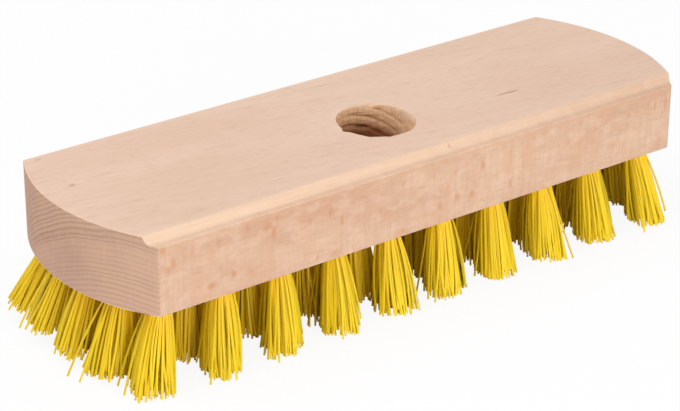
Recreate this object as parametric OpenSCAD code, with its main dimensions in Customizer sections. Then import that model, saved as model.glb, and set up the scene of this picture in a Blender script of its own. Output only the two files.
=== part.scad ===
// Scrub brush: a beech block with a slanted handle socket and fifty bristle tufts.
// +X runs along the block, -Y is the front, +Z is up, and the bristles stand on z = 0.

/* [Block] */
// Length over the curved ends
block_l = 211; // [205:1:235]
// Width across the long sides
block_w = 70; // [70:1:80]
// Thickness of the board
block_t = 23.5; // [23.5:0.5:30]
// Radius of the curved ends
end_r = 65; // [60:1:90]
// Radius of the cove along both top edges
cove_r = 2.5; // [1:0.25:4]
// Ledge left between the cove and the side
cove_ledge = 1.3; // [0.5:0.1:2]

/* [Handle socket] */
// Diameter inside the thread
socket_d = 23; // [18:0.5:23]
// Depth along the middle of the socket
socket_depth = 17; // [12:0.5:17]
// Lean of the handle from upright, towards the front
socket_lean = 20.5; // [10:0.5:20.5]
// How far the middle of the mouth lies in front of the block's middle
socket_front = 6.2; // [4:0.1:7]
// How far it lies to the right of the block's middle
socket_side = 1; // [-1:0.5:1]

/* [Tuft holes] */
// Diameter of the drill
hole_d = 6.4; // [5:0.1:6.4]
// Depth of the straight part of a hole
hole_depth = 11; // [8:0.5:11]
// Length of the drill's point
point_l = 1.8; // [1:0.1:2]
// Distance between rows, from the middle of one to the middle of the next
row_pitch = 12.8; // [12:0.1:13]
// Distance of the last hole in a row from the curved end, along the row
end_inset = 11.3; // [10:0.1:14]
// Clear distance from the block's middle, for the middle row, the next and the outer rows
keep_clear = [16.7, 13.1, 0];

/* [Bristles] */
// Height of the block above the floor, which the bristles fill
bristle_h = 26.5; // [20:0.5:40]
// Strands in the outer ring of a tuft
ring_strands = 7; // [5:1:7]
// Strands in the core of a tuft
core_strands = 3; // [1:1:3]
// Radius of one strand, corner to middle
strand_r = 0.62; // [0.4:0.02:0.62]
// Radius of a tuft's outer ring at the floor
fan_r = 5.8; // [4:0.1:6]
// How far the tips of the outer rows lean out
row_lean = 3.7; // [0:0.1:5]
// How far the tips of the end tufts lean out
end_lean = 4.8; // [0:0.1:6]
// Depth that the tips are cut flat where the brush stands
flat_cut = 0.5; // [0.2:0.1:1]

/* [Anchor strips] */
// Thickness of the steel strip
strip_t = 0.4; // [0.3:0.05:0.6]
// Width of the strip, along the hole
strip_w = 2.2; // [1.5:0.1:3]
// How far each end bites into the wood
strip_bite = 0.4; // [0.2:0.05:0.6]
// Turn of the strips from the block's length
strip_turn = 45; // [0:5:90]

/* [Hidden] */
row_names = ["front", "front_inner", "middle", "back_inner", "back"];
rows = len(row_names);
columns = 10;
middle_row = (rows - 1) / 2;
last_column = columns - 1;
function tuft_name(row, column) = str("tuft_", row_names[row], "_", column + 1);

$fn = 64;
// Sides of the long arcs at the ends, and of the tufts' small round parts
arc_fn = 144;
small_fn = 16;
// How far a cut runs past the surface that it opens
past = 1;
big = 3 * block_l;
beech = [0.90, 0.76, 0.64];
yellow = [0.93, 0.79, 0.12];
steel = [0.72, 0.73, 0.75];

// The tuft's bundle in its hole, and how it narrows over the fold
bundle_gap = 0.1;
bundle_r = hole_d / 2 - bundle_gap;
bundle_fold = 1;
bundle_fold_r = bundle_r - 1.2;
// Where the strip lies, measured up the hole from its mouth, with the fold above it
fold_t = 1.4;
strip_z = hole_depth - fold_t - strip_w;
// Where the strands grow out of the bundle, inside its rim
root_z = 1;
rim_t = 0.35;
ring_root_r = bundle_r - strand_r - rim_t;
core_root_r = 0.9;
core_fan = 0.42;
// Free length of a strand, so that an upright one reaches past the floor by the flat cut
strand_l = norm([bristle_h + flat_cut, fan_r - ring_root_r]);
// The shortest bristles end this far above the longest
ragged = 1.6;
// The left end's tufts have been pressed aside in use, more towards the back corner
pressed_front = [1.4, 2];
pressed_step = [-1.7, 0];

// Half the length of a row, out to its last hole
function row_reach(y) = block_l / 2 - end_r + sqrt(pow(end_r, 2) - pow(y, 2)) - end_inset;
function row_y(row) = (row - middle_row) * row_pitch;
// From -1 at the left end to 1 at the right
function along(column) = 2 * column / last_column - 1;
function hole_x(row, column) =
    let (even = row_reach(row_y(row)) * along(column))
    sign(even) * max(abs(even), keep_clear[abs(row - middle_row)]);
// How far the tip lies out from the mouth of its hole, as the hole is drilled
function drilled_lean(row, column) = [
    end_lean * pow(along(column), 3),
    row_lean * (row - middle_row) / middle_row
];
function pressed_lean(row, column) =
    column == 0 ? pressed_front + row * pressed_step : [0, 0];
// Even scatter between 0 and 1, the same for the same tuft and strand
function scatter(row, column, i) = abs(sin(137.5 * (7 * row + 11 * column + 3 * i + 1)));

// Puts its children at a tuft's hole, with their +Z up the drilled hole
module at_hole(row, column) {
    lean = drilled_lean(row, column);
    turn = atan2(lean[1], lean[0]);
    tilt = asin(norm(lean) / strand_l);
    translate([hole_x(row, column), row_y(row), bristle_h])
        rotate([0, 0, turn])
            rotate([0, -tilt, 0])
                rotate([0, 0, -turn])
                    children();
}

module at_every_hole() {
    for (row = [0:rows - 1], column = [0:last_column])
        at_hole(row, column) children();
}

module at_socket() {
    translate([socket_side, -socket_front, bristle_h + block_t])
        rotate([socket_lean, 0, 0])
            children();
}

// The board's outline, with an arc at each end
module outline() {
    arc_x = block_l / 2 - end_r;
    intersection() {
        square([block_l, block_w], center = true);
        union() {
            square([2 * arc_x, block_w], center = true);
            translate([-arc_x, 0]) circle(end_r, $fn = arc_fn);
            translate([arc_x, 0]) circle(end_r, $fn = arc_fn);
        }
    }
}

// One cove, cut along the top edge that the side at +Y has
module cove() {
    cove_y = block_w / 2 - cove_ledge;
    cut_l = block_l + 2 * past;
    translate([-cut_l / 2, cove_y, bristle_h + block_t])
        rotate([0, 90, 0])
            cylinder(h = cut_l, r = cove_r);
    translate([-cut_l / 2, cove_y, bristle_h + block_t - cove_r])
        cube([cut_l, cove_ledge + past, cove_r + past]);
}

module socket() {
    at_socket()
        translate([0, 0, -socket_depth])
            cylinder(h = socket_depth + block_t, d = socket_d);
}

module strip() {
    rotate([0, 0, strip_turn])
        translate([-hole_d / 2 - strip_bite, -strip_t / 2, strip_z])
            cube([hole_d + 2 * strip_bite, strip_t, strip_w]);
}

// A drilled hole, with the slots that its strip has bitten
module tuft_hole() {
    translate([0, 0, -hole_d])
        cylinder(h = hole_d + hole_depth, d = hole_d, $fn = small_fn);
    translate([0, 0, hole_depth])
        cylinder(h = point_l, d1 = hole_d, d2 = 0, $fn = small_fn);
    strip();
}

module block() {
    color(beech)
        difference() {
            translate([0, 0, bristle_h])
                linear_extrude(block_t) outline();
            cove();
            mirror([0, 1, 0]) cove();
            socket();
            at_every_hole() tuft_hole();
        }
}

module anchor_strips() {
    color(steel) at_every_hole() strip();
}

// The bristles folded round the strip, narrower over the fold, with a slot for the strip
module bundle() {
    straight = hole_depth - bundle_fold;
    difference() {
        union() {
            cylinder(h = straight, r = bundle_r, $fn = small_fn);
            translate([0, 0, straight])
                cylinder(h = bundle_fold, r1 = bundle_r, r2 = bundle_fold_r, $fn = small_fn);
        }
        strip();
    }
}

// One strand from its root towards its tip, a square cluster of bristles with a flat side outwards
module strand(root, tip, length) {
    way = tip - root;
    turn = atan2(way[1], way[0]);
    tilt = atan2(norm([way[0], way[1]]), abs(way[2]));
    translate(root)
        rotate([0, 0, turn])
            rotate([0, -tilt, 0])
                rotate([180, 0, 45])
                    cylinder(h = length, r = strand_r, $fn = 4);
}

module strand_ring(row, column, count, root_r, tip_r, first) {
    pressed = pressed_lean(row, column);
    for (i = [0:count - 1]) {
        angle = 360 * (i + first / 4) / count;
        way = [cos(angle), sin(angle)];
        root = [root_r * way[0], root_r * way[1], root_z];
        tip = [tip_r * way[0] + pressed[0], tip_r * way[1] + pressed[1], -bristle_h];
        // every other strand is full length, so that the tuft stands on them
        short = (i + first) % 2 == 0 ? 0 : ragged * scatter(row, column, i + first);
        strand(root, tip, strand_l + root_z - short);
    }
}

module tuft(row, column) {
    color(yellow)
        difference() {
            at_hole(row, column) {
                bundle();
                strand_ring(row, column, ring_strands, ring_root_r, fan_r, 0);
                strand_ring(row, column, core_strands, core_root_r, core_fan * fan_r, 1);
            }
            translate([-big / 2, -big / 2, -big])
                cube(big);
        }
}

block();
anchor_strips();
for (row = [0:rows - 1], column = [0:last_column])
    tuft(row, column);
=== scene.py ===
import math

import bmesh
import bpy
import numpy as np
from mathutils import Matrix, Vector


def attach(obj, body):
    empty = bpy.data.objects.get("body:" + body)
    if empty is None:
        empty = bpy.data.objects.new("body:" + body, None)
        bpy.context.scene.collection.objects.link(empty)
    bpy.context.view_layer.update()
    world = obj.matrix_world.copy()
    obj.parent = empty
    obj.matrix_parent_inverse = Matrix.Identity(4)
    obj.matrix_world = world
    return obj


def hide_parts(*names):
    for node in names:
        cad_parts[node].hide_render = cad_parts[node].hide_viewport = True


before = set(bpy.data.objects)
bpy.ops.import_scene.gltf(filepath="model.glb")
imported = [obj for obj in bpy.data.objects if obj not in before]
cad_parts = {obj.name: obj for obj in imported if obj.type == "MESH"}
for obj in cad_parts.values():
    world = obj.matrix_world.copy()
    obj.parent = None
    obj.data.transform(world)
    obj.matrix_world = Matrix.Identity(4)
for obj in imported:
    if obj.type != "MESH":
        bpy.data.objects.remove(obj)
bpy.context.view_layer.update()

mm = 0.001  # the frame is in metres, the sizes below are in millimetres

# where the photo was taken from, worked out from the block's corners
shot = {
    "place": (-393.1, -504.3, 320.3),
    "azimuth": -37.4,
    "elevation": 25.16,
    "roll": 0.28,
    "lens": 123.0,
    "sensor": 36.0,
    "nearest": 10.0,
}


def placeCamera():
    data = bpy.data.cameras.new("photoView")
    data.lens = shot["lens"]
    data.sensor_width = shot["sensor"]
    data.clip_start = shot["nearest"] * mm
    camera = bpy.data.objects.new("photoView", data)
    camera.matrix_world = (
        Matrix.Translation(Vector(shot["place"]) * mm)
        @ Matrix.Rotation(math.radians(shot["azimuth"]), 4, "Z")
        @ Matrix.Rotation(math.radians(90 - shot["elevation"]), 4, "X")
        @ Matrix.Rotation(math.radians(shot["roll"]), 4, "Z")
    )
    bpy.context.scene.collection.objects.link(camera)
    bpy.context.scene.camera = camera


placeCamera()
print("camera stands at the photo's view")


# short ways to wire up the nodes of a material, or of the world
class Wiring:
    def __init__(self, owner):
        self.owner = owner
        self.owner.use_nodes = True
        self.nodes = owner.node_tree.nodes
        self.links = owner.node_tree.links
        self.nodes.clear()

    def add(self, kind, inputs=None, **settings):
        node = self.nodes.new(kind)
        for key, value in settings.items():
            setattr(node, key, value)
        for key, value in (inputs or {}).items():
            if isinstance(value, bpy.types.NodeSocket):
                self.links.new(value, node.inputs[key])
            else:
                node.inputs[key].default_value = value
        return node

    def math(self, how, a, b=0.0, c=0.0):
        return self.add("ShaderNodeMath", {0: a, 1: b, 2: c}, operation=how).outputs[0]

    def vector(self, how, a, b):
        return self.add("ShaderNodeVectorMath", {0: a, 1: b}, operation=how).outputs[0]

    # where a point lies on the object, in metres or in the unit given
    def place(self, unit=1.0):
        place = self.add("ShaderNodeTexCoord").outputs["Object"]
        return place if unit == 1.0 else self.vector("MULTIPLY", place, (1 / unit,) * 3)

    def parts(self, vector):
        return self.add("ShaderNodeSeparateXYZ", {0: vector}).outputs

    def joined(self, x, y, z=0.0):
        return self.add("ShaderNodeCombineXYZ", {0: x, 1: y, 2: z}).outputs[0]

    def noise(self, vector, scale, detail=2.0, rough=0.5):
        inputs = {"Vector": vector, "Scale": scale, "Detail": detail, "Roughness": rough}
        return self.add("ShaderNodeTexNoise", inputs).outputs["Fac"]

    # a noise from one of the dictionaries below, stretched along the axes
    def pattern(self, vector, look):
        stretched = self.vector("MULTIPLY", vector, look["stretch"])
        return self.noise(stretched, look["scale"], look["detail"], look["rough"])

    # from outLow where the value is at start to outHigh where it is at full
    def step(self, value, start, full, outLow=0.0, outHigh=1.0):
        inputs = {"Value": value, "From Min": start, "From Max": full, "To Min": outLow, "To Max": outHigh}
        node = self.add("ShaderNodeMapRange", inputs, interpolation_type="SMOOTHSTEP")
        return node.outputs["Result"]

    def ramp(self, value, stops):
        node = self.add("ShaderNodeValToRGB", {"Fac": value})
        band = node.color_ramp
        while len(band.elements) < len(stops):
            band.elements.new(0.5)
        for element, (at, colour) in zip(band.elements, stops):
            element.position = at
            element.color = (*colour, 1.0)
        return node.outputs["Color"]

    def mix(self, share, a, b):
        node = self.add("ShaderNodeMix", data_type="RGBA", clamp_factor=True)
        factor, first, second = node.inputs[0], node.inputs[6], node.inputs[7]
        for socket, value in ((factor, share), (first, a), (second, b)):
            if isinstance(value, bpy.types.NodeSocket):
                self.links.new(value, socket)
            else:
                socket.default_value = (*value, 1.0)
        return node.outputs[2]

    def bump(self, height, depth, strength):
        inputs = {"Strength": strength, "Distance": depth * mm, "Height": height}
        return self.add("ShaderNodeBump", inputs).outputs[0]

    def finish(self, shader, kind="ShaderNodeOutputMaterial"):
        self.add(kind, {"Surface": shader.outputs[0]})
        return self.owner


# the tree that the board was sawn from: its heart lies below the board's front edge, along its length,
# so its rings are arches that are flat over the heart and slope away evenly further out
tree = {
    "heart": (-104.0, -27.0),  # where the arches are highest at the left end, x and y in mm
    "slope": 0.8,
    "roundness": 27.8,  # how far from the heart the slope sets in, in mm
    "drift": 0.05,  # the heart sinks by this much per mm towards the right end
    "slant": 0.10,  # and the grain runs this much forwards per mm, as the board was sawn
    "ringWidth": 1.45,
    "ringDarkens": (0.50, 0.98),  # share of a ring's width over which it darkens
    "ringPales": (0.14, 0.0),  # and over which the next one starts pale again
    "waver": 0.45,  # how far the rings wander, in mm
    "wander": {"stretch": (0.30, 1.0, 1.0), "scale": 0.045, "detail": 3.0, "rough": 0.5},
    "unevenness": 2.0,  # how much wider some years are than others, in mm
    "unevenScale": 0.16,
    # how dark the rings of each time are: height of the arch in mm, darkness from 0 to 1
    "years": [
        (22, 0.65), (30, 0.95), (38.5, 0.70), (40.5, 0.35), (45.5, 0.25),
        (47.4, 0.95), (49.4, 0.85), (54, 0.75), (60, 0.5), (70, 0.35),
    ],
}


# where a point lies in the tree, and how dark the ring there is
def growth(w):
    place = w.place(mm)
    x, y, z = w.parts(place)
    # the same place with the grain turned to run along X
    along = w.math("SUBTRACT", x, tree["heart"][0])
    grainY = w.math("MULTIPLY_ADD", along, tree["slant"], y)
    grainZ = w.math("MULTIPLY_ADD", along, tree["drift"], z)
    grain = w.joined(x, grainY, grainZ)
    waver = w.pattern(grain, tree["wander"])
    waver = w.math("MULTIPLY_ADD", waver, 6 * tree["waver"], -3 * tree["waver"])
    across = w.math("MULTIPLY", w.math("SUBTRACT", grainY, tree["heart"][1]), tree["slope"])
    sag = w.math("SQRT", w.math("MULTIPLY_ADD", across, across, tree["roundness"] ** 2))
    arch = w.math("ADD", grainZ, w.math("SUBTRACT", sag, tree["roundness"]))
    wavering = w.math("ADD", arch, waver)
    uneven = w.add(
        "ShaderNodeTexNoise",
        {"W": w.math("MULTIPLY", wavering, tree["unevenScale"]), "Scale": 1.0, "Detail": 2.0},
        noise_dimensions="1D",
    ).outputs["Fac"]
    rings = w.math("MULTIPLY_ADD", uneven, tree["unevenness"], wavering)
    phase = w.math("FRACT", w.math("DIVIDE", rings, tree["ringWidth"]))
    late = w.math("MAXIMUM", w.step(phase, *tree["ringDarkens"]), w.step(phase, *tree["ringPales"]))
    first, last = tree["years"][0][0], tree["years"][-1][0]
    years = w.ramp(
        w.math("DIVIDE", w.math("SUBTRACT", wavering, first), last - first),
        [((at - first) / (last - first), (dark,) * 3) for at, dark in tree["years"]],
    )
    return {
        "place": place, "x": x, "y": y, "z": z, "grain": grain,
        "across": across, "arch": arch, "wavering": wavering, "late": w.math("MULTIPLY", late, years),
    }


# colours of the beech as it was planed, sawn across and bored, and what all four cuts share
wood = {
    "patches": {
        "stretch": (0.25, 1.0, 1.0), "scale": 0.040, "detail": 3.0, "rough": 0.6,
        "start": 0.30, "full": 0.70, "strength": 1.0, "colour": "deep",
    },
    "specular": 0.25,
    "bumpStrength": 0.6,
}
planed = {
    "pale": (0.815, 0.588, 0.455),
    "deep": (0.765, 0.530, 0.395),
    "line": (0.560, 0.330, 0.205),
    "fleck": (0.640, 0.310, 0.165),
    "ringShare": 0.10,
    "fleckShare": 0.04,
    "roughness": 0.55,
    "bumpDepth": 0.05,
}
sided = {
    "pale": (0.690, 0.475, 0.335),
    "deep": (0.590, 0.350, 0.235),
    "line": (0.480, 0.260, 0.150),
    "fleck": (0.560, 0.245, 0.115),
    "ringShare": 0.06,
    "fleckShare": 0.40,
    "roughness": 0.58,
    "bumpDepth": 0.05,
}
sawn = {
    "pale": (0.590, 0.362, 0.235),
    "deep": (0.480, 0.288, 0.215),
    "line": (0.215, 0.100, 0.070),
    "fleck": (0.640, 0.430, 0.300),
    "ringShare": 0.62,
    "roughness": 0.70,
    "bumpDepth": 0.10,
}
# the bored wood's colours are paler than the top's: painted light that makes up for the little light
# reaching into the socket
bored = {
    "pale": (0.960, 0.670, 0.420),
    "deep": (0.880, 0.560, 0.300),
    "line": (0.340, 0.150, 0.060),
    "fleck": (0.980, 0.760, 0.600),
    "ringShare": 0.12,
    "fleckShare": 0.04,
    "roughness": 0.80,
    "bumpDepth": 0.6,
}


# a second colour over the first: none of it where the value is at start, the most where it is at full
def tint(w, colour, value, look, values):
    share = w.step(value, look["start"], look["full"], 0.0, look["strength"])
    return w.mix(share, colour, values.get(look["colour"], look["colour"]))


# the end grain, with its strong rings broken into short strokes
endGrain = {
    "strongRing": 48.3,  # height of the darkest ring's arch at the left end, in mm
    "strongBand": {"start": 3.0, "full": 0.2, "strength": 0.32},
    "strokes": {
        "stretch": (0.35, 3.0, 1.0), "scale": 0.9, "detail": 3.0, "rough": 0.7, "start": 0.38, "full": 0.60,
    },
    "rays": {
        "lean": -0.5, "stretch": (1.0, 0.16, 1.0), "scale": 1.6, "detail": 2.0, "rough": 0.5,
        "start": 0.56, "full": 0.72, "strength": 0.22, "colour": "fleck",
    },
    "pores": {
        "stretch": (0.3, 1.0, 1.0), "scale": 2.6, "detail": 2.0, "rough": 0.7,
        "start": 0.54, "full": 0.74, "strength": 0.30, "colour": "line",
    },
    "kerf": {
        "stretch": (1.4, 1.4, 0.10), "scale": 1.1, "detail": 2.0, "rough": 0.6,
        "start": 0.50, "full": 0.75, "strength": 0.25, "colour": "fleck",
    },
    "pinkLow": {"start": 40.0, "full": 27.0, "strength": 0.45, "colour": (0.600, 0.352, 0.268)},
    "paleCorner": {"start": 34.0, "full": -35.0, "strength": 0.35, "colour": "fleck"},
    "poreBump": -0.5,
    "ringBump": 0.35,
}


def sawnLook(w, at, colour, values):
    fromStrong = w.math("ABSOLUTE", w.math("SUBTRACT", at["wavering"], endGrain["strongRing"]))
    band, strokes = endGrain["strongBand"], endGrain["strokes"]
    stroke = w.step(w.pattern(w.joined(at["y"], at["arch"]), strokes), strokes["start"], strokes["full"])
    inBand = w.step(fromStrong, band["start"], band["full"], 0.0, band["strength"])
    colour = w.mix(w.math("MULTIPLY", inBand, stroke), colour, values["line"])
    # rays run out from the heart, pores are fine dots, and the saw left faint upright strokes
    rays = endGrain["rays"]
    turn = w.math("MULTIPLY_ADD", at["across"], rays["lean"], at["y"])
    colour = tint(w, colour, w.pattern(w.joined(turn, at["arch"]), rays), rays, values)
    pores = w.pattern(at["place"], endGrain["pores"])
    colour = tint(w, colour, pores, endGrain["pores"], values)
    colour = tint(w, colour, w.pattern(at["place"], endGrain["kerf"]), endGrain["kerf"], values)
    # it is pinker low down, and paler towards the front corner
    colour = tint(w, colour, at["z"], endGrain["pinkLow"], values)
    colour = tint(w, colour, at["y"], endGrain["paleCorner"], values)
    low = w.math("MULTIPLY", pores, endGrain["poreBump"])
    return colour, w.math("ADD", low, w.math("MULTIPLY", at["late"], endGrain["ringBump"]))


# along the grain the vessels show as fine short lines
longGrain = {
    "vessels": {
        "stretch": (0.13, 1.0, 1.0), "scale": 1.9, "detail": 2.0, "rough": 0.6,
        "start": 0.54, "full": 0.72, "strength": 0.34, "colour": "line",
    },
    "coarse": {
        "stretch": (0.10, 1.0, 1.0), "scale": 0.75, "detail": 2.0, "rough": 0.6,
        "start": 0.55, "full": 0.72, "strength": 0.20, "colour": "line",
    },
    "vesselBump": -1.0,
}


def longLook(w, at, colour, values):
    vessels = w.pattern(at["grain"], longGrain["vessels"])
    colour = tint(w, colour, vessels, longGrain["vessels"], values)
    colour = tint(w, colour, w.pattern(at["grain"], longGrain["coarse"]), longGrain["coarse"], values)
    return colour, w.math("MULTIPLY", vessels, longGrain["vesselBump"])


# the top is paler beside the coves: painted highlight along the cove's edge
topGrain = {
    "coveEdgeHighlight": {"start": 28.8, "full": 31.6, "strength": 0.70, "colour": (0.840, 0.612, 0.460)},
}

# the sides were planed with a little chatter, which leaves upright bands
sideGrain = {
    "chatter": {
        "stretch": (1.0, 0.12, 0.22), "scale": 0.45, "detail": 4.0, "rough": 0.7,
        "start": 0.40, "full": 0.70, "strength": 0.55, "colour": "deep",
    },
    "mottle": {
        "stretch": (0.30, 0.3, 0.55), "scale": 0.6, "detail": 3.0, "rough": 0.6,
        "start": 0.42, "full": 0.66, "strength": 0.46, "colour": (0.740, 0.525, 0.390),
    },
    "clouds": {
        "stretch": (0.26, 0.3, 0.16), "scale": 0.7, "detail": 3.0, "rough": 0.65,
        "start": 0.50, "full": 0.70, "strength": 0.46, "colour": (0.640, 0.350, 0.205),
    },
    "bands": {
        "stretch": (2.4, 0.12, 0.12), "scale": 0.6, "detail": 3.0, "rough": 0.6,
        "start": 0.48, "full": 0.70, "strength": 0.42, "colour": (0.600, 0.360, 0.230),
    },
    # the cove is paler than the side, as freshly cut wood and as painted highlight where it faces the
    # lamps, and a deeper line runs along its lower edge
    "coveFrom": (46.8, 47.9),  # heights between which the paler wood sets in
    "coveColour": (0.800, 0.580, 0.422),
    "coveStreaks": {"stretch": (0.05, 1.3, 1.3), "scale": 1.0, "detail": 2.0, "rough": 0.5},
    "coveStreakShare": (0.3, 0.7, 0.72, 0.95),
    "coveFades": (-60.0, 70.0, 1.0, 0.6),  # the paler colour, and with it the painted highlight, is weaker towards the right end
    "edgeHeight": 46.5,
    "edge": {"start": 0.8, "full": 0.1, "strength": 0.35, "colour": (0.66, 0.37, 0.22)},
}


def sideLook(w, at, colour, values):
    for name in ("chatter", "mottle", "clouds", "bands"):
        colour = tint(w, colour, w.pattern(at["place"], sideGrain[name]), sideGrain[name], values)
    inCove = w.step(at["z"], *sideGrain["coveFrom"])
    streaks = w.pattern(at["place"], sideGrain["coveStreaks"])
    inCove = w.math("MULTIPLY", inCove, w.step(streaks, *sideGrain["coveStreakShare"]))
    inCove = w.math("MULTIPLY", inCove, w.step(at["x"], *sideGrain["coveFades"]))
    colour = w.mix(inCove, colour, sideGrain["coveColour"])
    fromEdge = w.math("ABSOLUTE", w.math("SUBTRACT", at["z"], sideGrain["edgeHeight"]))
    return tint(w, colour, fromEdge, sideGrain["edge"], values)


# rays cut along their length show as small orange flecks, most of them on the sides
flecks = {
    "stretch": (0.36, 0.30, 0.20),
    "lens": (0.26, 0.08),  # distance from a fleck's middle where it starts and is full
    "pick": (0.5, 0.9),  # only some of the cells hold one
}


def fleckLook(w, at, colour, values):
    place = w.vector("MULTIPLY", at["place"], flecks["stretch"])
    cells = w.add("ShaderNodeTexVoronoi", {"Vector": place, "Scale": 1.0})
    lens = w.step(cells.outputs["Distance"], *flecks["lens"])
    picked = w.step(w.parts(cells.outputs["Color"])[0], *flecks["pick"])
    share = w.math("MULTIPLY", w.math("MULTIPLY", lens, values["fleckShare"]), picked)
    return w.mix(share, colour, values["fleck"])


# the socket's wood is torn, and is painted darker downwards as shade deeper in the socket
boreGrain = {
    "torn": {"stretch": (0.8, 0.8, 0.16), "scale": 1.5, "detail": 4.0, "rough": 0.7},
    "tornDark": {"start": 0.50, "full": 0.75, "strength": 0.45, "colour": "line"},
    "tornPale": {"start": 0.46, "full": 0.28, "strength": 0.60, "colour": "fleck"},
    "paintedDepthShade": {"start": 44.5, "full": 38.5, "strength": 0.85, "colour": (0.30, 0.095, 0.022)},
}


def boreLook(w, at, colour, values):
    torn = w.pattern(at["place"], boreGrain["torn"])
    colour = tint(w, colour, torn, boreGrain["tornDark"], values)
    colour = tint(w, colour, torn, boreGrain["tornPale"], values)
    # painted shade, darker deeper down the socket
    return tint(w, colour, at["z"], boreGrain["paintedDepthShade"], values), torn


# painted shadow as dark strokes along the socket's thread, and paler torn fibres: place in mm, half sizes,
# colour, how strong
threadShadowsAndFibres = [
    ((2.6, 8.6, 43.0), (3.0, 2.0, 0.7), (0.16, 0.045, 0.008), 0.60),
    ((6.6, 7.4, 42.1), (2.6, 2.0, 1.0), (0.13, 0.030, 0.004), 0.85),
    ((10.2, 5.0, 40.4), (2.4, 2.4, 1.2), (0.22, 0.070, 0.012), 0.60),
    ((3.3, 6.9, 47.2), (3.4, 2.0, 0.5), (0.40, 0.190, 0.090), 0.55),
    ((7.6, 5.4, 46.0), (3.0, 2.0, 0.6), (0.38, 0.170, 0.070), 0.55),
    ((8.9, 3.3, 48.6), (1.6, 1.6, 0.5), (0.62, 0.250, 0.080), 0.70),
    ((5.2, 5.0, 49.4), (2.6, 2.0, 0.9), (1.00, 0.720, 0.540), 0.60),
    ((12.4, -8.5, 49.2), (1.8, 6.0, 1.3), (1.00, 0.740, 0.600), 0.80),
]

# small knots and scratches in the top: x and y in mm, half length and half width, colour, how strong
knots = [
    (-95.4, 8.0, 1.1, 1.0, (0.420, 0.290, 0.205), 0.60),
    (-95.8, 11.6, 0.9, 0.6, (0.500, 0.340, 0.240), 0.30),
    (-93.9, 29.0, 1.4, 0.8, (0.500, 0.330, 0.230), 0.45),
    (45.3, -13.1, 3.4, 0.42, (0.400, 0.210, 0.120), 0.80),
    (48.6, -13.5, 2.4, 0.40, (0.360, 0.180, 0.100), 0.85),
    (-62.0, 3.0, 2.4, 0.35, (0.500, 0.300, 0.200), 0.35),
    (72.0, 14.0, 2.8, 0.35, (0.500, 0.300, 0.200), 0.35),
]

# darker spots and smears in the front side: x and z in mm, half length and half height, how strong
marks = [
    (-93.8, 45.9, 1.2, 1.5, 0.60),
    (-90.5, 41.3, 1.0, 2.0, 0.55),
    (-91.8, 39.4, 1.1, 1.1, 0.40),
    (-70.8, 32.3, 0.9, 1.1, 0.75),
    (-78.4, 30.9, 1.6, 1.1, 0.60),
    (-57.2, 40.9, 0.8, 2.3, 0.65),
    (-59.4, 43.4, 1.8, 1.6, 0.50),
    (-56.0, 44.6, 0.7, 1.5, 0.40),
    (-66.0, 44.8, 1.0, 1.7, 0.35),
    (-75.6, 43.6, 0.9, 1.5, 0.35),
    (-84.0, 43.0, 1.0, 2.2, 0.30),
    (-37.6, 41.6, 0.7, 1.6, 0.55),
    (-33.5, 38.2, 0.7, 2.0, 0.50),
    (-36.0, 28.5, 2.0, 1.3, 0.40),
    (18.5, 41.0, 1.0, 2.1, 0.60),
    (9.0, 33.5, 0.9, 1.6, 0.50),
    (14.5, 33.0, 0.9, 1.4, 0.50),
    (2.5, 32.4, 1.0, 1.5, 0.45),
    (29.5, 32.0, 0.7, 2.0, 0.50),
    (88.5, 42.5, 0.6, 1.9, 0.50),
    (93.0, 42.0, 0.6, 2.5, 0.55),
]

spotEdge = {
    "top": 50.0,  # height of the top and place of the front side, which the spots lie on
    "front": -35.0,
    "into": 2.0,  # half depth of a spot into the wood, in mm
    "wobble": {"scale": 0.9, "times": 0.9, "plus": -0.45},
    "edge": (1.5, 0.1),  # distance from the middle, in half sizes, where a spot starts and is full
}
knotSpots = [
    ((x, y, spotEdge["top"]), (long, wide, spotEdge["into"]), shade, strength)
    for x, y, long, wide, shade, strength in knots
]
markSpots = [
    ((x, spotEdge["front"], z), (long, spotEdge["into"], high), sided["fleck"], strength)
    for x, z, long, high, strength in marks
]


def spotLook(w, at, colour, spots):
    wobble = spotEdge["wobble"]
    ragged = w.math("MULTIPLY_ADD", w.noise(at["place"], wobble["scale"]), wobble["times"], wobble["plus"])
    for spot, size, shade, strength in spots:
        fromSpot = w.vector("DIVIDE", w.vector("SUBTRACT", at["place"], spot), size)
        away = w.add("ShaderNodeVectorMath", {0: fromSpot}, operation="LENGTH").outputs["Value"]
        share = w.step(w.math("ADD", away, ragged), *spotEdge["edge"], 0.0, strength)
        colour = w.mix(share, colour, shade)
    return colour


def beech(name, values, cut, spots=()):
    w = Wiring(bpy.data.materials.new(name))
    at = growth(w)
    colour = tint(w, values["pale"], w.pattern(at["grain"], wood["patches"]), wood["patches"], values)
    colour = w.mix(w.math("MULTIPLY", at["late"], values["ringShare"]), colour, values["line"])
    if cut == "sawn":
        colour, height = sawnLook(w, at, colour, values)
    else:
        colour, height = longLook(w, at, colour, values)
        if cut == "planed":
            colour = tint(w, colour, w.math("ABSOLUTE", at["y"]), topGrain["coveEdgeHighlight"], values)
        if cut == "side":
            colour = sideLook(w, at, colour, values)
        colour = fleckLook(w, at, colour, values)
        if cut == "bored":
            colour, height = boreLook(w, at, colour, values)
    if spots:
        colour = spotLook(w, at, colour, spots)
    inputs = {
        "Base Color": colour,
        "Roughness": values["roughness"],
        "Specular IOR Level": wood["specular"],
        "Normal": w.bump(height, values["bumpDepth"], wood["bumpStrength"]),
    }
    return w.finish(w.add("ShaderNodeBsdfPrincipled", inputs))


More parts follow.
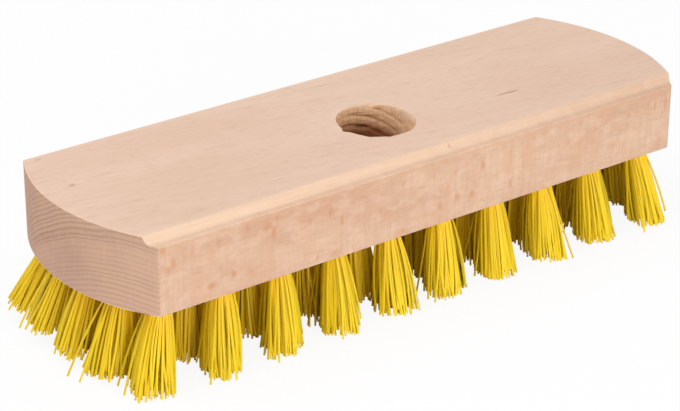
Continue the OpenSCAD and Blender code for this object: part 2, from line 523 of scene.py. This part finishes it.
# the bristles' plastic, each bristle its own shade
plastic = {
    "bright": (0.955, 0.722, 0.018),
    "dull": (0.840, 0.572, 0.011),
    # painted shade: the darker orange for the deep parts of a tuft, the inner tufts and the bristles near
    # their holes
    "paintedShadeColour": (1.000, 0.600, 0.006),
    "streakScale": 900.0,
    "streakShare": 0.3,
    "shadeShare": 0.8,
    "paintedShadeByDepth": 0.8,
    "paintedShadeUnderBlock": (10 * mm, 26 * mm, 0.0, 0.45),  # it sets in between these heights over the floor
    "roughness": 0.40,
    "shine": 0.25,
    "bumpDepth": 0.02,
    "bumpStrength": 0.3,
}


def bristlePlastic():
    w = Wiring(bpy.data.materials.new("yellowBristle"))
    place = w.place()
    shade = w.add("ShaderNodeAttribute", attribute_name="shade").outputs["Fac"]
    streak = w.noise(place, plastic["streakScale"])
    dulled = w.math("MULTIPLY", shade, plastic["shadeShare"])
    dulled = w.math("MULTIPLY_ADD", streak, plastic["streakShare"], dulled)
    colour = w.mix(dulled, plastic["bright"], plastic["dull"])
    # painted shade: deep in a tuft, in the inner tufts and near the hole the colour is turned a darker
    # orange, standing in for light that has passed through more plastic and for the shade under the block
    inside = w.add("ShaderNodeAttribute", attribute_name="inside").outputs["Fac"]
    high = w.step(w.parts(place)[2], *plastic["paintedShadeUnderBlock"])
    paintedShadeShare = w.math("ADD", high, w.math("MULTIPLY", inside, plastic["paintedShadeByDepth"]))
    inputs = {
        "Base Color": w.mix(paintedShadeShare, colour, plastic["paintedShadeColour"]),
        "Roughness": plastic["roughness"],
        "Specular IOR Level": plastic["shine"],
        "Normal": w.bump(streak, plastic["bumpDepth"], plastic["bumpStrength"]),
    }
    return w.finish(w.add("ShaderNodeBsdfPrincipled", inputs))


# the steel of the strips that hold the tufts in their holes
steel = {
    "rolled": {"stretch": (400.0, 400.0, 4000.0), "scale": 1.0, "detail": 3.0, "rough": 0.5},
    "shades": [(0.3, (0.42, 0.43, 0.45)), (0.7, (0.62, 0.62, 0.63))],
    "roughness": (0.2, 0.8, 0.25, 0.45),
}


def stripSteel():
    w = Wiring(bpy.data.materials.new("stripSteel"))
    rolled = w.pattern(w.place(), steel["rolled"])
    inputs = {
        "Base Color": w.ramp(rolled, steel["shades"]),
        "Metallic": 1.0,
        "Roughness": w.step(rolled, *steel["roughness"]),
    }
    return w.finish(w.add("ShaderNodeBsdfPrincipled", inputs))


woodFace = beech("planedBeech", planed, "planed", knotSpots)
woodSide = beech("planedSide", sided, "side", markSpots)
woodEnd = beech("sawnEndGrain", sawn, "sawn")
woodBore = beech("boredBeech", bored, "bored", threadShadowsAndFibres)
bristleYellow = bristlePlastic()
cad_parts["anchor_strips"].data.materials.clear()
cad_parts["anchor_strips"].data.materials.append(stripSteel())
print("materials are mixed")


def asObject(name, points, faces, material=None):
    mesh = bpy.data.meshes.new(name)
    mesh.from_pydata([tuple(p) for p in points], [], faces)
    if material:
        mesh.materials.append(material)
    obj = bpy.data.objects.new(name, mesh)
    bpy.context.scene.collection.objects.link(obj)
    return obj


# faces of a tube between two rings of points, which start at low and at high
def tubeFaces(low, high, sides):
    return [[low + i, low + (i + 1) % sides, high + (i + 1) % sides, high + i] for i in range(sides)]


# the board, as it is made: sawn, coved, bored and tapped for the handle, drilled for the tufts
board = {
    "length": 211.0,
    "width": 70.0,
    "under": 26.5,  # height of its underside over the floor
    "top": 50.0,
    "endRadius": 65.0,
    "arcPoints": 48,
    "cornerEase": 0.6,
    "cornerSteps": 4,
    "cornerTurn": 0.4,  # an upright edge that turns by more than this, in radians, is a corner
    "edgeEase": 0.35,
    "edgeSteps": 3,
    "edgeTurn": 1.2,
}
halfLength = board["length"] / 2
halfWidth = board["width"] / 2


def boardOutline():
    middle = halfLength - board["endRadius"]
    spread = math.asin(halfWidth / board["endRadius"])
    points = []
    for side in (1, -1):
        for i in range(board["arcPoints"] + 1):
            a = spread * (2 * i / board["arcPoints"] - 1)
            x = side * (middle + board["endRadius"] * math.cos(a))
            points.append((x, side * board["endRadius"] * math.sin(a)))
    return points


def ease(work, edges, size, steps):
    bmesh.ops.bevel(work, geom=edges, offset=size * mm, segments=steps, profile=0.5, affect="EDGES")


def boardBlank():
    outline = boardOutline()
    count = len(outline)
    points = [(x * mm, y * mm, z * mm) for z in (board["under"], board["top"]) for x, y in outline]
    faces = [list(range(count))[::-1], list(range(count, 2 * count))]
    faces += tubeFaces(0, count, count)
    blank = asObject("board", points, faces)
    work = bmesh.new()
    work.from_mesh(blank.data)
    upright = [e for e in work.edges if abs(e.verts[0].co.z - e.verts[1].co.z) > 10 * mm]
    corners = [e for e in upright if e.calc_face_angle() > board["cornerTurn"]]
    ease(work, corners, board["cornerEase"], board["cornerSteps"])
    level = [e for e in work.edges if abs(e.verts[0].co.z - e.verts[1].co.z) < 0.001 * mm]
    rims = [e for e in level if e.calc_face_angle() > board["edgeTurn"]]
    ease(work, rims, board["edgeEase"], board["edgeSteps"])
    bmesh.ops.recalc_face_normals(work, faces=work.faces)
    work.to_mesh(blank.data)
    work.free()
    return blank


# the cutter for one cove, along the top edge of the side at +Y or, mirrored, of the one at -Y
cove = {
    "radius": 2.5,
    "ledge": 1.3,
    "ledgeEase": 0.3,
    "ledgeRound": 0.3,  # where the ledge's ease is rounded, as a share of it
    "lip": 0.25,
    "lipRound": (0.25, 0.2),
    "arc": (186, 84),  # where its arc starts and how far it turns, in degrees
    "arcPoints": 8,
    "skim": 0.01,  # keeps the cutter's faces off the board's
    "past": 2.0,  # how far the cutter stands out of the board
    "endPast": 5.0,
}


def coveCutter(side):
    top = board["top"]
    r, lip, small, skim, past = (cove[key] for key in ("radius", "lip", "ledgeEase", "skim", "past"))
    middle = halfWidth - cove["ledge"]
    inner = middle - r
    outer = top - r
    profile = [(inner - lip, top + past), (inner - lip, top + skim)]
    profile.append((inner - cove["lipRound"][0] * lip, top - cove["lipRound"][1] * lip))
    for i in range(cove["arcPoints"] + 1):
        a = math.radians(cove["arc"][0] + cove["arc"][1] * i / cove["arcPoints"])
        profile.append((middle + r * math.cos(a), top + r * math.sin(a)))
    rounded = cove["ledgeRound"] * small
    profile += [(halfWidth - small, outer), (halfWidth - rounded, outer - rounded)]
    profile += [(halfWidth + skim, outer - small), (halfWidth + past, outer - small)]
    profile.append((halfWidth + past, top + past))
    count = len(profile)
    reach = halfLength + cove["endPast"]
    points = [(x * mm, side * y * mm, z * mm) for x in (-reach, reach) for y, z in profile]
    faces = [list(range(count)), list(range(count, 2 * count))[::-1]]
    faces += [[i + count, (i + 1) % count + count, (i + 1) % count, i] for i in range(count)]
    if side > 0:
        faces = [face[::-1] for face in faces]  # mirrored, so the faces are turned outwards again
    return asObject("coveCutter", points, faces)


# the socket for the handle, which leans towards the front
socket = {
    "radius": 11.5,
    "depth": 17.0,
    "lean": 20.5,
    "front": 6.2,
    "side": 1.0,
    "pitch": 4.0,
    "grooveDepth": 1.0,
    "grooveWidth": 2.0,
    "grooveShape": (0.55, 0.45),  # how much of its section is rounded, and how much a plain V
    "grooveFrom": (1.2, 2.5),  # it starts this far below the rim, and is full this much further down
    "start": 0.63,  # where the thread begins, as a share of a turn
    "sharp": (0.54, 0.46, 148),  # the tool tore the right side's threads: mean, swing, where it is sharpest
    "waves": [(0.05, 9, 0.0), (0.04, 17, 2.1)],  # height, how many round the socket, turn per mm of depth
    "seed": 7,
    "sides": 120,
    "rowStep": 0.28,
    "past": 9.0,  # how far the cutter stands out of the board
}
# its rim is torn, fuzzy and a little rounded, in mm
rim = {
    "reach": (-6.0, 2.5),  # depths below the board's face between which it is worked out
    "tearDown": 2.2,  # how far down a tear reaches
    "fuzz": (0.05, 23, 0.9),  # height, how many round the rim, how far down
    "round": (0.15, 0.5),  # how far out, how far down
    # direction in degrees from the right, half width in degrees, depth in mm
    "tears": [
        (183.0, 7.0, 1.2), (56.0, 6.0, 0.9), (222.0, 8.0, 0.5), (118.0, 5.0, 0.35),
        (300.0, 5.0, 0.2), (20.0, 6.0, 0.2), (250.0, 4.0, 0.3),
    ],
}


def socketPlace():
    return (
        Matrix.Translation(Vector((socket["side"], -socket["front"], board["top"])) * mm)
        @ Matrix.Rotation(math.radians(socket["lean"]), 4, "X")
    )


# how far the groove of the right-hand thread cuts in, at this turn and height along the axis
def grooveAt(turn, s, below):
    offset = (s / socket["pitch"] - turn - socket["start"] + 0.5) % 1.0 - 0.5
    into = max(0.0, 1 - abs(offset) * socket["pitch"] / (socket["grooveWidth"] / 2))
    rounded, plain = socket["grooveShape"]
    groove = socket["grooveDepth"] * (into * into * (3 - 2 * into) * rounded + into * plain)
    mean, swing, sharpest = socket["sharp"]
    sharp = mean + swing * math.cos(math.tau * turn - math.radians(sharpest))
    start, full = socket["grooveFrom"]
    return groove * sharp * min(1.0, max(0.0, (below - start) / full))


# how much wider the torn rim is, below being the depth under the board's face
def tornAt(a, below, waver):
    def fade(reach):
        return max(0.0, 1 - max(0.0, below) / reach)

    wider = 0.0
    for angle, width, depth in rim["tears"]:
        gap = (math.degrees(a) - angle + 180) % 360 - 180
        wider += depth * math.exp(-((gap / width) ** 2)) * fade(rim["tearDown"])
    height, count, reach = rim["fuzz"]
    wider += height * (1 + math.sin(count * a + waver)) * fade(reach)
    return wider + rim["round"][0] * fade(rim["round"][1]) ** 2


def socketCutter():
    def around(r, a, s):
        return place @ (Vector((r * math.cos(a), r * math.sin(a), s)) * mm)

    sides = socket["sides"]
    length = socket["depth"] + socket["past"]
    rows = int(length / socket["rowStep"])
    place = socketPlace()
    waver = np.random.RandomState(socket["seed"]).uniform(0, math.tau, 3)
    points = []
    for j in range(rows + 1):
        s = -socket["depth"] + j * length / rows
        for i in range(sides):
            turn = i / sides
            a = math.tau * turn
            below = board["top"] - around(socket["radius"], a, s).z / mm
            r = socket["radius"] + grooveAt(turn, s, below)
            for n, (height, count, twist) in enumerate(socket["waves"]):
                r += height * math.sin(count * a + twist * s + waver[n])
            if rim["reach"][0] < below < rim["reach"][1]:
                r += tornAt(a, below, waver[2])
            points.append(around(r, a, s))
    faces = [list(range(sides))[::-1], list(range(rows * sides, (rows + 1) * sides))]
    for j in range(rows):
        faces += tubeFaces(j * sides, (j + 1) * sides, sides)
    return asObject("socketCutter", points, faces)


# the tufts' grid: rows from the front to the back, columns from the left to the right
grid = {
    "rowNames": ["front", "front_inner", "middle", "back_inner", "back"],
    "columns": 10,
    "middleRow": 2,
    "rowPitch": 12.8,
    "endInset": 11.3,
    "keepClear": [16.7, 13.1, 0.0],  # distance from the block's middle, for the middle row and outwards
    "rowLean": 3.7,
    "endLean": 4.8,
    "strandLength": 27.25,  # from the hole's mouth past the floor
}
lastColumn = grid["columns"] - 1


# from -1 at the left end to 1 at the right
def alongRow(column):
    return 2 * column / lastColumn - 1


def holeMouth(row, column):
    y = (row - grid["middleRow"]) * grid["rowPitch"]
    arc = math.sqrt(board["endRadius"] ** 2 - y * y)
    reach = halfLength - board["endRadius"] + arc - grid["endInset"]
    x = reach * alongRow(column)
    x = math.copysign(max(abs(x), grid["keepClear"][abs(row - grid["middleRow"])]), x)
    return Vector((x, y, board["under"]))


# the hole's own frame in mm, with +Z up the hole
def holePlace(row, column):
    outwards = (row - grid["middleRow"]) / grid["middleRow"]
    lean = Vector((grid["endLean"] * alongRow(column) ** 3, grid["rowLean"] * outwards, 0.0))
    turn = math.atan2(lean.y, lean.x)
    tilt = math.asin(lean.length / grid["strandLength"])
    return (
        Matrix.Translation(holeMouth(row, column))
        @ Matrix.Rotation(turn, 4, "Z")
        @ Matrix.Rotation(-tilt, 4, "Y")
        @ Matrix.Rotation(-turn, 4, "Z")
    )


# a drilled hole, with its mouth a little wider where the drill went in
hole = {
    "radius": 3.2,
    "depth": 11.0,
    "pointLength": 1.8,
    "mouthWider": 0.15,
    "mouthDepth": (0.35, 0.75),  # how far up the wider part goes, and where it has narrowed
    "past": 4.0,
    "sides": 28,
}


def holeCutters():
    sides = hole["sides"]
    r = hole["radius"]
    wide = r + hole["mouthWider"]
    wideEnds, narrowed = hole["mouthDepth"]
    steps = [(-hole["past"], wide), (wideEnds, wide), (narrowed, r), (hole["depth"], r)]
    points, faces = [], []
    for row in range(len(grid["rowNames"])):
        for column in range(grid["columns"]):
            place = holePlace(row, column)
            start = len(points)
            for z, radius in steps:
                for i in range(sides):
                    a = math.tau * i / sides
                    points.append(place @ Vector((radius * math.cos(a), radius * math.sin(a), z)) * mm)
            points.append(place @ Vector((0, 0, hole["depth"] + hole["pointLength"])) * mm)
            tip = len(points) - 1
            faces.append(list(range(start, start + sides))[::-1])
            for j in range(len(steps) - 1):
                faces += tubeFaces(start + j * sides, start + (j + 1) * sides, sides)
            high = start + (len(steps) - 1) * sides
            faces += [[high + i, high + (i + 1) % sides, tip] for i in range(sides)]
    return asObject("holeCutters", points, faces)


def cutAway(obj, cutter):
    knife = obj.modifiers.new("cut", "BOOLEAN")
    knife.operation = "DIFFERENCE"
    knife.solver = "EXACT"
    knife.object = cutter
    graph = bpy.context.evaluated_depsgraph_get()
    done = bpy.data.meshes.new_from_object(obj.evaluated_get(graph))
    obj.modifiers.clear()
    obj.data = done
    bpy.data.objects.remove(cutter)


# which wood a face of the cut block shows, by its place in mm and the way that it faces
sorting = {
    "woods": [woodFace, woodEnd, woodBore, woodSide],
    "face": 0,
    "end": 1,
    "bore": 2,
    "side": 3,
    "flat": 0.01,  # how near a plane counts as on it
    "coveMargin": 0.5,
    "socketMargin": (3.0, 0.5),  # round the socket and below it
    "socketLowest": 2.0,  # heights are over the board's underside
    "endFrom": 90.0,  # nearer to the middle than this nothing faces the end but the holes
    "endDepth": 12.0,  # the curved ends lie within this of the board's length
    "endLowest": 0.3,
    "holeHeights": (0.05, 13.0),
    "holeReach": (99.0, 33.0),
    "facesSide": 0.999,  # how much of a face's direction points that way, from 0 to 1
    "facesEnd": 0.3,
    "facesUp": 0.5,
    "sharpEdge": 32,  # edges that turn by more than this, in degrees, stay sharp
}


def woodOf(middle, normal, socketFrame):
    x, y, up = abs(middle.x) / mm, abs(middle.y) / mm, middle.z / mm - board["under"]
    inSocket = (socketFrame @ middle) / mm
    if abs(up) < sorting["flat"] or abs(middle.z / mm - board["top"]) < sorting["flat"]:
        return sorting["face"], True
    if abs(normal.y) > sorting["facesSide"] and abs(y - halfWidth) < sorting["flat"]:
        return sorting["side"], True
    coveStart = halfWidth - cove["ledge"] - cove["radius"] - sorting["coveMargin"]
    if y > coveStart and abs(normal.x) < sorting["facesEnd"]:
        return sorting["side"], False
    around, beneath = sorting["socketMargin"]
    inReach = math.hypot(inSocket.x, inSocket.y) < socket["radius"] + around
    if inReach and up > sorting["socketLowest"] and inSocket.z > -socket["depth"] - beneath:
        return sorting["bore"], False
    upright = abs(normal.x) > sorting["facesEnd"] and abs(normal.z) < sorting["facesUp"]
    if upright and x > sorting["endFrom"] and up > sorting["endLowest"]:
        return sorting["end" if x > halfLength - sorting["endDepth"] else "bore"], False
    inHeights = sorting["holeHeights"][0] < up < sorting["holeHeights"][1]
    if inHeights and x < sorting["holeReach"][0] and y < sorting["holeReach"][1]:
        return sorting["bore"], False
    return sorting["face"], False


# flat faces stay flat, and each face gets the wood that its cut shows
def sortFaces(obj):
    socketFrame = socketPlace().inverted()
    obj.data.materials.clear()
    for material in sorting["woods"]:
        obj.data.materials.append(material)
    work = bmesh.new()
    work.from_mesh(obj.data)
    for face in work.faces:
        index, flat = woodOf(face.calc_center_median(), face.normal, socketFrame)
        face.material_index = index
        face.smooth = not flat
    gentle = math.radians(sorting["sharpEdge"])
    for edge in work.edges:
        edge.smooth = len(edge.link_faces) == 2 and edge.calc_face_angle() < gentle
    work.to_mesh(obj.data)
    work.free()


def makeBlock():
    block = boardBlank()
    cutAway(block, coveCutter(1))
    cutAway(block, coveCutter(-1))
    cutAway(block, socketCutter())
    cutAway(block, holeCutters())
    sortFaces(block)
    block.name = "beech_block"
    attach(block, "root")
    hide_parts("block")
    return block


block = makeBlock()
print("block is cut,", len(block.data.polygons), "faces")

# the bristles, which fan out from their hole and are trimmed level with the floor
bristle = {
    "perTuft": 250,
    "seed": 1000,
    "radius": 0.32,
    "thickness": (0.9, 1.08),  # from the thinnest bristle to the thickest, as a share of the radius
    "rootRadius": 0.22,  # they are pressed thinner where they come out of the hole
    "rootRings": 3,  # and reach their full thickness by this ring
    "sides": 5,
    "rings": 7,
    "softness": 0.58,  # light passes through the plastic, so a tuft is shaded partly as one round body
    "roundShade": (2.0, 0.1),  # how far from its middle that sets in, and how much it faces upwards
    "turnEach": 2.39996,  # from one bristle to the next round the tuft, in radians
    "turnScatter": 0.02,
    "crowding": 0.46,  # under a half, so that they stand closer towards the rim
    "rootReach": 2.85,  # how far from the hole's middle the outermost one comes out
    "rootDepth": 3.0,  # how far up the hole they are drawn
    "tipReach": 6.3,
    "tipScatter": 0.35,
    "tipPast": 1.0,  # how much longer they are drawn before they are cut
    "fanPower": 0.82,  # under 1, so that they spread soonest by the hole
    "twist": (0.06, 0.22),  # how far they gather in clumps, in radians, from the least to the most
    "twistWaves": (3, 5),
    "oval": (0.10, 2),  # how far the tuft is from round, and in how many waves
    "bend": 0.55,
    "strayShare": 0.07,
    "strayReach": 3.4,
    "strayFrom": 2.0,
    "strayAlong": (-0.5, 1.6),  # middle and spread of a stray one's tip along X, and along Y below
    "strayAcross": (0.0, 0.9),
    "ragged": 1.0,
    "shortShare": 0.14,
    "shortBy": (0.6, 3.0),
    "frontMost": -37.0,  # no bristle reaches further out than these
    "backMost": 38.6,
    "dullness": (0.0, 0.75),  # the least and what scatter adds, here and for the left end's tufts, which are painted duller as shade under the end
    "leftEndShadeDullness": (0.45, 0.55),
    "innerTuftPaintedShade": 0.5,  # painted shade on the inner tufts, which light only reaches through other ones
}

# the left end's tufts, from the front row back: how much shorter, how far their tips are pressed aside
pressedEnd = {
    "worn": [0.0, 0.9, 2.4, 3.8, 4.0],
    "lean": [(0.2, 2.5), (0.1, 2.0), (-1.6, 2.0), (-3.3, 2.0), (-5.0, 2.0)],
    "spread": 1.15,  # and how much wider they fan
}


# points of one bristle in mm, from its root in the hole down to its tip
def bristlePath(tuft, angle, share, random):
    twist, turn = tuft["twist"], tuft["turn"]
    swirl = angle
    for n, waves in enumerate(bristle["twistWaves"]):
        swirl += twist[n] * math.sin(waves * angle + turn[n])
    oval, waves = bristle["oval"]
    reach = tuft["spread"] * bristle["tipReach"] * share * (1 + oval * math.sin(waves * angle + turn[2]))
    tipOut = Vector((math.cos(swirl), math.sin(swirl), 0))
    tipOut *= reach + random.normal(0, bristle["tipScatter"])
    if random.rand() < bristle["strayShare"]:
        tipOut = tipOut * (1 + bristle["strayReach"] * random.rand() / max(bristle["strayFrom"], reach))
        tipOut += Vector((random.normal(*bristle["strayAlong"]), random.normal(*bristle["strayAcross"]), 0))
    bendWay = Vector((random.normal(0, bristle["bend"]), random.normal(0, bristle["bend"]), 0))
    short = tuft["worn"] + abs(random.normal(0, bristle["ragged"]))
    if random.rand() < bristle["shortShare"]:
        short += random.uniform(*bristle["shortBy"])
    length = grid["strandLength"] + bristle["tipPast"]
    root = Vector((math.cos(angle), math.sin(angle), 0)) * (bristle["rootReach"] * share)
    last = bristle["rings"] - 1
    points = []
    for i in range(last + 1):
        down = (bristle["rootDepth"] + length) * i / last
        free = max(0.0, down - bristle["rootDepth"]) / length
        side = root.lerp(tipOut, free ** bristle["fanPower"])
        side += bendWay * (4 * free * (1 - free)) + tuft["lean"] * free
        points.append(tuft["place"] @ Vector((side.x, side.y, bristle["rootDepth"] - down)))
    tip = points[-1].y
    over = tip - min(max(tip, bristle["frontMost"]), bristle["backMost"])
    for i, point in enumerate(points):
        point.y -= over * (i / last) ** 2
    # cut where the tuft was trimmed, level with the floor
    while points[-2].z <= short:
        points.pop()
    before = points[-2]
    points[-1] = before.lerp(points[-1], (before.z - short) / (before.z - points[-1].z))
    return points


# rings of points round a bristle, and the way that the surface faces there
def bristleSkin(path, thick, out):
    slim = bristle["rootRadius"] / bristle["radius"]
    soft = bristle["softness"]
    points, normals = [], []
    for i, point in enumerate(path):
        way = (path[min(i + 1, len(path) - 1)] - path[max(i - 1, 0)]).normalized()
        side = way.cross(Vector((0, 1, 0))).normalized()
        over = way.cross(side)
        size = thick * (slim + (1 - slim) * min(1.0, i / bristle["rootRings"]))
        outwards = (out - out.project(way)).normalized() * soft
        for a in np.arange(bristle["sides"]) * math.tau / bristle["sides"]:
            own = side * math.cos(a) + over * math.sin(a)
            points.append((point + own * size) * mm)
            normals.append((own * (1 - soft) + outwards).normalized())
    return points, normals


# how a tuft stands in its hole, and how its bristles gather
def tuftShape(row, column, random):
    shape = {"place": holePlace(row, column), "lean": Vector((0, 0, 0)), "worn": 0.0, "spread": 1.0}
    if column == 0:
        shape["lean"] = Vector((*pressedEnd["lean"][row], 0))
        shape["worn"] = pressedEnd["worn"][row]
        shape["spread"] = pressedEnd["spread"]
    shape["twist"] = random.uniform(*bristle["twist"], 2)
    shape["turn"] = random.uniform(0, math.tau, 3)
    return shape


def makeTuft(row, column):
    random = np.random.RandomState(bristle["seed"] + grid["columns"] * row + column)
    tuft = tuftShape(row, column, random)
    middle = tuft["place"] @ (Vector((0, 0, -grid["strandLength"])) + tuft["lean"])
    isInner = 0 < row < len(grid["rowNames"]) - 1 and 0 < column < lastColumn
    # painted shade: the inner tufts get at least this much of the darker orange
    innerTuftShade = bristle["innerTuftPaintedShade"] if isInner else 0.0
    # painted shade: the left end's tufts are duller, as they lie in the shade under the end
    least, scatter = bristle["dullness"] if column else bristle["leftEndShadeDullness"]
    sides = bristle["sides"]
    points, faces, shades, insides, normals = [], [], [], [], []
    for n in range(bristle["perTuft"]):
        angle = bristle["turnEach"] * n + random.normal(0, bristle["turnScatter"])
        share = ((n + 0.5) / bristle["perTuft"]) ** bristle["crowding"]
        path = bristlePath(tuft, angle, share, random)
        shade = least + scatter * random.rand()
        thick = bristle["radius"] * random.uniform(*bristle["thickness"])
        out = Vector((path[-1].x - middle.x, path[-1].y - middle.y, 0))
        reach, upwards = bristle["roundShade"]
        out = out.normalized() * min(1.0, out.length / reach) + Vector((0, 0, upwards))
        start = len(points)
        ownPoints, ownNormals = bristleSkin(path, thick, out)
        points += ownPoints
        normals += ownNormals
        shades += [shade] * len(ownPoints)
        insides += [max(1 - share, innerTuftShade)] * len(ownPoints)
        tip = len(points) - sides
        for ring in range(start, tip, sides):
            faces += tubeFaces(ring, ring + sides, sides)
        faces += [list(range(start, start + sides))[::-1], list(range(tip, tip + sides))]
    name = "%s_%d" % (grid["rowNames"][row], column + 1)
    piece = asObject("bristles_" + name, points, faces, bristleYellow)
    for attribute, values in (("shade", shades), ("inside", insides)):
        piece.data.attributes.new(attribute, "FLOAT", "POINT").data.foreach_set("value", values)
    piece.data.shade_smooth()
    piece.data.normals_split_custom_set_from_vertices(normals)
    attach(piece, "root")
    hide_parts("tuft_" + name)


for row in range(len(grid["rowNames"])):
    for column in range(grid["columns"]):
        makeTuft(row, column)
print("tufts are set")

# a pale floor and soft studio light, in metres
studio = {
    "white": (1.0, 1.0, 1.0, 1.0),
    "floorHalf": 4.0,
    "floorColour": (0.93, 0.93, 0.93),
    "speckleColour": (0.85, 0.85, 0.85),
    "speckleScale": 40.0,
    "speckle": (0.3, 0.7, 0.0, 0.02),
    "floorShown": 0.91,
    "worldStrength": 0.60,
    "lamps": [  # name, place, size, power
        ("overhead", (-0.42, 0.05, 0.88), 0.9, 3.8),
        ("front", (-0.08, -1.05, 0.14), 0.8, 6.9),
        ("left", (-1.00, -0.35, 0.22), 0.7, 0.45),
    ],
    "aim": (0.0, 0.0, 0.03),
}


def layFloor():
    h = studio["floorHalf"]
    floor = asObject("floor", [(-h, -h, 0), (h, -h, 0), (h, h, 0), (-h, h, 0)], [[0, 1, 2, 3]])
    w = Wiring(bpy.data.materials.new("paleFloor"))
    speckle = w.step(w.noise(w.place(), studio["speckleScale"]), *studio["speckle"])
    colour = w.mix(speckle, studio["floorColour"], studio["speckleColour"])
    cloth = w.add("ShaderNodeBsdfDiffuse", {"Color": colour})
    shown = w.add("ShaderNodeEmission", {"Color": studio["white"], "Strength": 1.0})
    rays = w.add("ShaderNodeLightPath").outputs
    share = w.math("MULTIPLY", rays["Is Camera Ray"], studio["floorShown"])
    both = w.add("ShaderNodeMixShader", {0: share, 1: cloth.outputs[0], 2: shown.outputs[0]})
    floor.data.materials.append(w.finish(both))


# the world lights the brush softly, and is plain white where it is seen
def fillRoom():
    w = Wiring(bpy.data.worlds.new("studio"))
    rays = w.add("ShaderNodeLightPath").outputs
    plain = w.add("ShaderNodeBackground", {"Color": studio["white"], "Strength": studio["worldStrength"]})
    seen = w.add("ShaderNodeBackground", {"Color": studio["white"], "Strength": 1.0})
    share = w.math("MAXIMUM", rays["Is Camera Ray"], rays["Is Glossy Ray"])
    share = w.math("MAXIMUM", share, rays["Is Transmission Ray"])
    both = w.add("ShaderNodeMixShader", {0: share, 1: plain.outputs[0], 2: seen.outputs[0]})
    bpy.context.scene.world = w.finish(both, "ShaderNodeOutputWorld")


def hangLamps():
    for name, place, size, power in studio["lamps"]:
        lamp = bpy.data.lights.new(name, "AREA")
        lamp.shape = "DISK"
        lamp.size = size
        lamp.energy = power
        obj = bpy.data.objects.new(name, lamp)
        obj.location = place
        obj.rotation_euler = (Vector(studio["aim"]) - Vector(place)).to_track_quat("-Z", "Y").to_euler()
        bpy.context.scene.collection.objects.link(obj)


layFloor()
fillRoom()
hangLamps()
bpy.context.scene.view_settings.view_transform = "Standard"
print("studio is lit")
